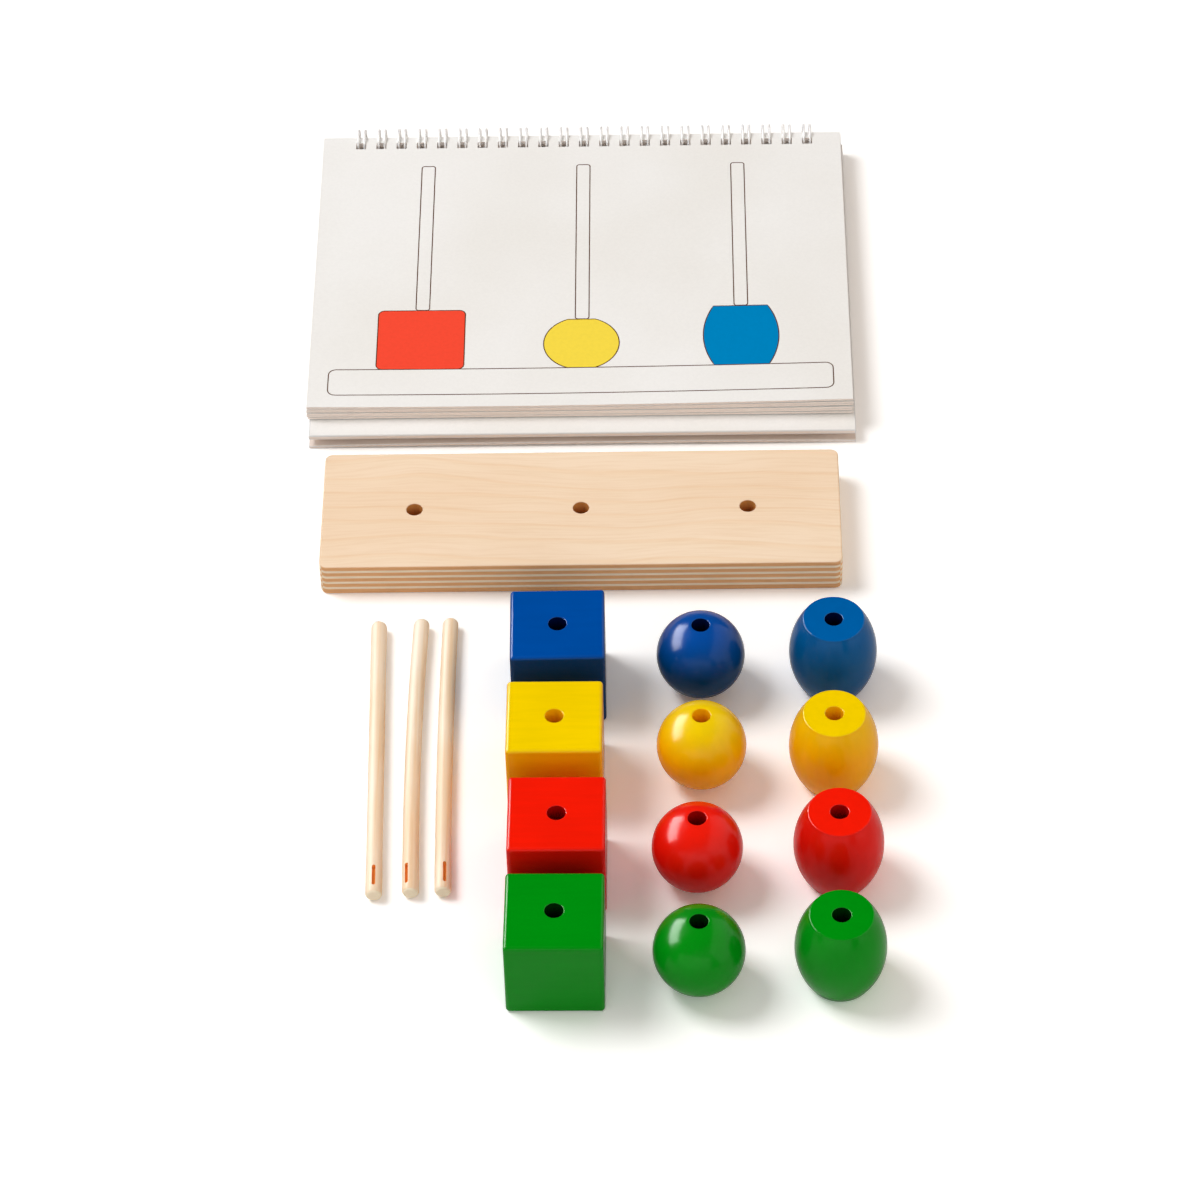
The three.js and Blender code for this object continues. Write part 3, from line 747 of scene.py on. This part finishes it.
# The front board's underside is lined in buff; the back board's top takes cream as painted warm shade for the
# gap under the front board.
inner_face_tints = {"easel_front_board": (-1, inner_face_tint("buff_lining", tint(226, 166, 104), tint(236, 182, 124))),
           "easel_back_board": (1, inner_face_tint("cream_painted_shade", tint(247, 231, 216), tint(251, 237, 223)))}
for place, (node_name, body, thickness, bottom, lift, overhang, shift_x, shift_y) in enumerate(CARDS):
    card = grown(node_name + "_card", card_tree, {
        "Width": BOARD_CARD_WIDTH if overhang else LEAF_WIDTH, "Depth": LEAF_DEPTH + overhang,
        "Thickness": thickness, "Pitch": PUNCH_PITCH, "Row Shift": -shift_x, "Punches": PUNCHES,
        "Punch Width": PUNCH_WIDTH, "Punch Length": PUNCH_LENGTH, "Punch Inset": PUNCH_INSET})
    if overhang:
        worn(card.data, thickness * 0.25)
        inward, inner_face = inner_face_tints[node_name]
        card.data.materials.append(inner_face)
        for face in card.data.polygons:
            if face.normal.z * inward > 0.9:
                face.material_index = 2
    flat = card.data.attributes.new("flat_place", "FLOAT_VECTOR", "POINT")
    flat.data.foreach_set("vector", [value for vertex in card.data.vertices for value in vertex.co])
    if place == 0:
        bowed(card.data, BACK_BOARD_BOW)
    warped(card.data, max(place - 2, 0))
    card.data.transform(hung(bottom, lift, shift_x, shift_y))
    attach(card, body)
    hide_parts(node_name)


# Printed patterns: each leaf shows towers to copy, offset-printed at life size: pegs standing in a
# base in thin brown outline, with flat red, yellow, blue and green figures for the beads.

INK_LINE = 0.00042
INK_HEIGHT = 0.00002
PEG_COLUMNS = (-0.0635, 0.0008, 0.0647)
PRINT_TOP = -0.0192
PRINT_BASE = -0.1417
PRINT_FOOT = -0.1563
PRINT_LEFT = -0.09995
PRINT_RIGHT = 0.10065
PRINT_CORNER = 0.003
PEG_LINE_HALF = 0.00275
PEG_LINE_CORNER = 0.0011
FIGURE_SHIFT = -0.0002
PATTERNS = {
    "leaf_1": (("red square",), ("yellow round",), ("blue barrel",)),
    "leaf_2": (("blue square",), ("green barrel",), ("red round",)),
    "leaf_3": (("yellow square", "red round"), ("blue barrel",), ("green square",)),
    "leaf_4": (("green barrel", "yellow round"), ("red square", "blue round"), ("yellow barrel",)),
    "leaf_5": (("blue square", "yellow square"), ("red barrel", "green round"),
               ("green square", "red round")),
    "leaf_6": (("red square", "yellow round", "blue barrel"), ("green square", "red barrel"),
               ("yellow square", "blue square", "green round")),
}


def printing_ink(name, colour):
    """Flat offset ink, very slightly mottled."""
    finish, tree, surface, place = blank_finish(name)
    mottle = node(tree, "ShaderNodeTexNoise", {"Vector": place, "Scale": 650.0, "Detail": 3.0})
    tone = ramp(tree, mottle.outputs["Fac"], [(0.3, tint(251, 251, 251)), (0.6, tint(255, 255, 255))])
    tree.links.new(mixed(tree, 1.0, colour, tone, "MULTIPLY"), surface.inputs["Base Color"])
    surface.inputs["Roughness"].default_value = 0.7
    surface.inputs["Specular IOR Level"].default_value = 0.0
    return finish


inks = [printing_ink("ink_line", tint(88, 48, 24)), printing_ink("ink_red", tint(255, 80, 57)),
        printing_ink("ink_yellow", tint(255, 227, 77)), printing_ink("ink_blue", tint(0, 136, 200)),
        printing_ink("ink_green", tint(31, 166, 78))]
INK_ORDER = {"red": 1, "yellow": 2, "blue": 3, "green": 4}


def rounded_box(left, right, front, back, radius):
    """The outline of a rounded box, anticlockwise, in steps short enough to follow a curved leaf."""
    points = []
    for quarter, (x, y) in enumerate(((right - radius, back - radius), (left + radius, back - radius),
                                      (left + radius, front + radius), (right - radius, front + radius))):
        for k in range(7):
            angle = math.pi / 2 * (quarter + k / 6)
            points.append(Vector((x + radius * math.cos(angle), y + radius * math.sin(angle))))
    steps = math.ceil((right - left) / 0.009)
    ribs = [left + radius + (right - left - 2 * radius) * k / steps for k in range(1, steps)]
    far_side = [Vector((x, back)) for x in reversed(ribs)]
    near_side = [Vector((x, front)) for x in ribs]
    return points[:7] + far_side + points[7:21] + near_side + points[21:]


def bulged(middle, front, tall, belly, flat):
    """The outline of a figure with flat ends and a bulging side, anticlockwise."""
    swell = belly - flat
    arc = ((tall / 2) ** 2 + swell ** 2) / (2 * swell)
    reach = math.asin(min(1.0, tall / 2 / arc))
    right = []
    for k in range(25):
        angle = reach * (k / 12 - 1)
        right.append(Vector((belly - arc * (1 - math.cos(angle)), front + tall / 2 + arc * math.sin(angle))))
    left = [Vector((-point.x, point.y)) for point in reversed(right)]
    return [Vector((middle + point.x, point.y)) for point in right + left]


def figure(kind, middle, front):
    """The outline of one bead's figure standing at a height on a peg, and how tall it is."""
    if kind == "square":
        half, tall, corner = 0.0175, 0.0343, 0.0025
        return rounded_box(middle - half, middle + half, front, front + tall, corner), tall
    if kind == "round":
        radius, half = 0.01513, 0.0141
        flat = math.asin(half / radius)
        right = [-flat + 2 * flat * k / 24 for k in range(25)]
        points = [Vector((radius * math.cos(a), radius * math.sin(a))) for a in right]
        points += [Vector((-p.x, p.y)) for p in reversed(points)]
        return [Vector((middle + p.x, front + half + p.y)) for p in points], 2 * half
    tall, belly, flat = 0.0346, 0.0151, 0.0109
    return bulged(middle, front, tall, belly, flat), tall


def lay_ink(shape, outline, ink, base, top, holes=None):
    """A flat patch of ink, or with an inner outline a line of ink, from base to top."""
    count = len(outline)
    upper = [shape.verts.new((p.x, p.y, top)) for p in outline]
    lower = [shape.verts.new((p.x, p.y, base)) for p in outline]
    made = [shape.faces.new((lower[k], lower[(k + 1) % count], upper[(k + 1) % count], upper[k]))
            for k in range(count)]
    if holes is None:
        made += [shape.faces.new(upper), shape.faces.new(list(reversed(lower)))]
    else:
        inner_up = [shape.verts.new((p.x, p.y, top)) for p in holes]
        inner_low = [shape.verts.new((p.x, p.y, base)) for p in holes]
        for k in range(count):
            after = (k + 1) % count
            made.append(shape.faces.new((upper[k], upper[after], inner_up[after], inner_up[k])))
            made.append(shape.faces.new((inner_up[k], inner_up[after], inner_low[after], inner_low[k])))
            made.append(shape.faces.new((inner_low[k], inner_low[after], lower[after], lower[k])))
    for face in made:
        face.material_index = ink


def drawn_line(shape, outline, base, top):
    """A pen line that follows a closed outline."""
    outer, inner = [], []
    for k, point in enumerate(outline):
        along = (outline[(k + 1) % len(outline)] - outline[k - 1]).normalized()
        away = Vector((along.y, -along.x)) * INK_LINE / 2
        outer.append(point + away)
        inner.append(point - away)
    lay_ink(shape, outer, 0, base, top, inner)


for up, (node_name, body, thickness, bottom, lift, overhang, shift_x, shift_y) in enumerate(CARDS[2:]):
    print_bm = bmesh.new()
    over = INK_HEIGHT * 1.6
    base_line = rounded_box(PRINT_LEFT, PRINT_RIGHT, PRINT_FOOT, PRINT_BASE, PRINT_CORNER)
    drawn_line(print_bm, base_line, 0, over)
    for middle, tower in zip(PEG_COLUMNS, PATTERNS[node_name]):
        level = PRINT_BASE
        for part in tower:
            colour, kind = part.split()
            outline, tall = figure(kind, middle + FIGURE_SHIFT, level)
            lay_ink(print_bm, outline, INK_ORDER[colour], 0, INK_HEIGHT)
            drawn_line(print_bm, outline, 0, over)
            level += tall
        peg_line = rounded_box(middle - PEG_LINE_HALF, middle + PEG_LINE_HALF,
                               level + INK_LINE / 2, PRINT_TOP, PEG_LINE_CORNER)
        drawn_line(print_bm, peg_line, 0, over)
    print_mesh = bpy.data.meshes.new("print_" + node_name)
    print_bm.to_mesh(print_mesh)
    print_bm.free()
    for ink in inks:
        print_mesh.materials.append(ink)
    pattern = bpy.data.objects.new("print_" + node_name, print_mesh)
    bpy.context.scene.collection.objects.link(pattern)
    print_mesh.transform(Matrix.Translation((0, -BACK_EDGE, 0)))
    warped(print_mesh, up)
    print_mesh.transform(hung(bottom + thickness, lift, shift_x, shift_y))
    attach(pattern, body)


# Binding wire: one steel wire in a white coat, bent into twin loops at three to the inch and closed
# round the punched row, its tips tucked in beside the straight spine at the back.

WIRE_GAUGE = 0.001
WIRE_RADIUS = 0.00666
WIRE_TWIN = 0.0013
WIRE_BEND = 0.0009


def white_coat():
    """White nylon over wire, rubbed unevenly."""
    finish, tree, surface, place = blank_finish("white_coat")
    dull = node(tree, "ShaderNodeTexNoise", {"Vector": place, "Scale": 500.0, "Detail": 2.0})
    tone = ramp(tree, dull.outputs["Fac"], [(0.3, tint(246, 245, 243)), (0.7, tint(252, 252, 251))])
    tree.links.new(tone, surface.inputs["Base Color"])
    surface.inputs["Subsurface Weight"].default_value = 1.0
    surface.inputs["Subsurface Radius"].default_value = (1.0, 0.95, 0.9)
    surface.inputs["Subsurface Scale"].default_value = 0.002
    rub = node(tree, "ShaderNodeMapRange", {0: dull.outputs["Fac"], 1: 0.3, 2: 0.7, 3: 0.42, 4: 0.3})
    tree.links.new(rub.outputs[0], surface.inputs["Roughness"])
    return finish


def twin_loop_tree(coat):
    """A wire that runs along the spine, round each loop to its tip and back beside itself."""
    tree = bpy.data.node_groups.new("twin_loop_wire", "GeometryNodeTree")
    size = sized_inputs(tree, [(name, "NodeSocketFloat") for name in (
        "Pitch", "Half Twin", "Ring Radius", "Gauge", "Bend", "Spine Angle", "Tip Angle")]
        + [("Loops", "NodeSocketInt"), ("Points", "NodeSocketInt")])

    def sums(operation, *terms):
        return node(tree, "ShaderNodeMath", dict(enumerate(terms)), operation=operation).outputs[0]

    place = tree.nodes.new("GeometryNodeInputIndex").outputs[0]
    loop = sums("FLOOR", sums("DIVIDE", sums("ADD", place, 0.25), size["Points"]))
    step = sums("SUBTRACT", place, sums("MULTIPLY", loop, size["Points"]))
    swing = sums("SUBTRACT", sums("DIVIDE", sums("MULTIPLY_ADD", step, 2.0, 1.0), size["Points"]), 1.0)
    side = sums("SIGN", swing)
    run = sums("SUBTRACT", sums("MULTIPLY", size["Pitch"], 0.5), size["Half Twin"])
    sweep = sums("SUBTRACT", size["Tip Angle"], size["Spine Angle"])
    arc = sums("MULTIPLY", sweep, size["Ring Radius"])
    turn = sums("MULTIPLY", size["Half Twin"], math.pi / 2)
    whole = sums("ADD", sums("ADD", run, arc), turn)
    travel = sums("MULTIPLY", sums("SUBTRACT", 1.0, sums("ABSOLUTE", swing)), whole)
    before = sums("SUBTRACT", run, travel)

    def soft_above_zero(value):
        bend_square = sums("MULTIPLY", size["Bend"], size["Bend"])
        length = sums("SQRT", sums("MULTIPLY_ADD", value, value, bend_square))
        return sums("MULTIPLY", sums("ADD", value, length), 0.5)

    run_left = sums("MULTIPLY", soft_above_zero(before), sums("DIVIDE", run, soft_above_zero(run)))
    arc_done = sums("MINIMUM", soft_above_zero(sums("MULTIPLY", before, -1.0)), arc)
    past = sums("SUBTRACT", travel, sums("ADD", run, arc))
    bow = sums("MULTIPLY", sums("MAXIMUM", sums("DIVIDE", past, turn), 0.0), math.pi / 2)
    across = sums("ADD", sums("MULTIPLY", size["Half Twin"], sums("COSINE", bow)), run_left)
    extra = sums("MULTIPLY", size["Half Twin"], sums("SINE", bow))
    turned = sums("DIVIDE", sums("ADD", arc_done, extra), size["Ring Radius"])
    angle = sums("ADD", size["Spine Angle"], turned)
    half_row = sums("MULTIPLY", sums("SUBTRACT", size["Loops"], 1.0), 0.5)
    middle = sums("MULTIPLY", sums("SUBTRACT", loop, half_row), size["Pitch"])
    point = node(tree, "ShaderNodeCombineXYZ", {
        0: sums("MULTIPLY_ADD", side, across, middle),
        1: sums("MULTIPLY", size["Ring Radius"], sums("COSINE", angle)),
        2: sums("MULTIPLY", size["Ring Radius"], sums("SINE", angle))})
    line = node(tree, "GeometryNodeMeshLine", {"Count": sums("MULTIPLY", size["Loops"], size["Points"])})
    bent = node(tree, "GeometryNodeSetPosition", {"Geometry": line.outputs[0], "Position": point.outputs[0]})
    path = node(tree, "GeometryNodeMeshToCurve", {"Mesh": bent.outputs[0]})
    section = node(tree, "GeometryNodeCurvePrimitiveCircle", {
        "Resolution": 10, "Radius": sums("MULTIPLY", size["Gauge"], 0.5)})
    drawn = node(tree, "GeometryNodeCurveToMesh", {
        "Curve": path.outputs[0], "Profile Curve": section.outputs[0], "Fill Caps": True})
    smooth = node(tree, "GeometryNodeSetShadeSmooth", {"Geometry": drawn.outputs[0]})
    real = node(tree, "GeometryNodeRealizeInstances", {"Geometry": smooth.outputs[0]})
    coated = node(tree, "GeometryNodeSetMaterial", {"Geometry": real.outputs[0], "Material": coat})
    node(tree, "NodeGroupOutput", {0: coated.outputs[0]})
    return tree


wire = grown("white_wire", twin_loop_tree(white_coat()), {
    "Pitch": PUNCH_PITCH, "Half Twin": WIRE_TWIN, "Ring Radius": WIRE_RADIUS, "Gauge": WIRE_GAUGE,
    "Bend": WIRE_BEND, "Spine Angle": math.radians(-60), "Tip Angle": math.radians(276),
    "Loops": PUNCHES, "Points": 120})
wire.data.transform(Matrix.Translation(WIRE_AXIS))
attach(wire, "booklet")
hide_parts("binding_wire")


# Studio: the set lies on a plain sweep, whiter to the camera than to the set, under a large soft box up on
# the left with fills in front and on the right. Three more panels are only seen in the gloss of the paint.
# The camera looks down at it from the front.


def white_sweep():
    """A matt floor that the camera sees as white while the set gets only its plain bounce."""
    finish, tree, surface, place = blank_finish("white_sweep")
    seen = node(tree, "ShaderNodeLightPath").outputs["Is Camera Ray"]
    colour = mixed(tree, seen, (0.82, 0.81, 0.80, 1.0), (1.3, 1.3, 1.3, 1.0))
    tree.links.new(colour, surface.inputs["Base Color"])
    surface.inputs["Roughness"].default_value = 1.0
    surface.inputs["Specular IOR Level"].default_value = 0.0
    return finish


sweep_bm = bmesh.new()
bmesh.ops.create_grid(sweep_bm, x_segments=1, y_segments=1, size=3.0)
sweep_mesh = bpy.data.meshes.new("white_sweep")
sweep_bm.to_mesh(sweep_mesh)
sweep_bm.free()
sweep = shown("white_sweep", sweep_mesh, white_sweep())


def soft_box(name, place, aim, width, height, power):
    """A flat panel of light that faces a point."""
    panel = bpy.data.lights.new(name, "AREA")
    panel.shape = "RECTANGLE"
    panel.size = width
    panel.size_y = height
    panel.energy = power
    holder = bpy.data.objects.new(name, panel)
    holder.location = place
    holder.rotation_euler = (Vector(aim) - Vector(place)).to_track_quat("-Z", "Y").to_euler()
    bpy.context.scene.collection.objects.link(holder)
    return holder


key = soft_box("key_light", (-1.36, 0.5, 2.0), (0, -0.05, 0), 1.2, 1.2, 36)
fill = soft_box("front_fill", (0.3, -1.6, 0.95), (0, -0.05, 0), 2.0, 0.9, 8)
bounce = soft_box("warm_bounce", (1.05, -0.04, 0.58), (0, 0, 0), 1.6, 1.0, 2.5)
bounce.data.color = (1.0, 0.72, 0.45)
for lamp in (key, fill, bounce):
    lamp.visible_glossy = False
for name, place, width, height, power in (
        ("soft_box_gleam", (-1.54, 0.65, 1.07), 2.15, 0.96, 165),
        ("right_reflector", (1.05, -0.04, 0.58), 2.6, 1.3, 14),
        ("front_reflector", (-0.24, -1.35, 0.38), 2.1, 0.75, 5.5)):
    gleam = soft_box(name, place, (0.02, -0.04, 0.02), width, height, power)
    gleam.visible_diffuse = False

studio = bpy.data.worlds.new("studio")
studio.use_nodes = True
room = studio.node_tree
ray = node(room, "ShaderNodeLightPath").outputs
dim = node(room, "ShaderNodeMath", {0: ray["Is Glossy Ray"], 1: -0.3, 2: 0.34}, operation="MULTIPLY_ADD")
glow = node(room, "ShaderNodeMath", {0: ray["Is Camera Ray"], 1: 0.66, 2: dim.outputs[0]},
            operation="MULTIPLY_ADD")
warm = mixed(room, ray["Is Camera Ray"], (1.0, 0.975, 0.955, 1.0), (1.0, 1.0, 1.0, 1.0))
room.links.new(warm, room.nodes["Background"].inputs["Color"])
room.links.new(glow.outputs[0], room.nodes["Background"].inputs["Strength"])
bpy.context.scene.world = studio

camera_right = Vector((0.99981, 0.0031, -0.01908))
camera_up = Vector((0.01092, 0.72378, 0.68995))
camera_back = Vector((0.01595, -0.69003, 0.72361))
lens = bpy.data.cameras.new("camera")
lens.sensor_width = 36.0
lens.lens = 141.707
lens.clip_start = 0.05
lens.clip_end = 20.0
camera = bpy.data.objects.new("camera", lens)
camera.matrix_world = Matrix.Translation((0.03598, -1.28325, 1.30838)) @ Matrix(
    (camera_right, camera_up, camera_back)).transposed().to_4x4()
bpy.context.scene.collection.objects.link(camera)
bpy.context.scene.camera = camera
bpy.context.scene.view_settings.view_transform = "Standard"
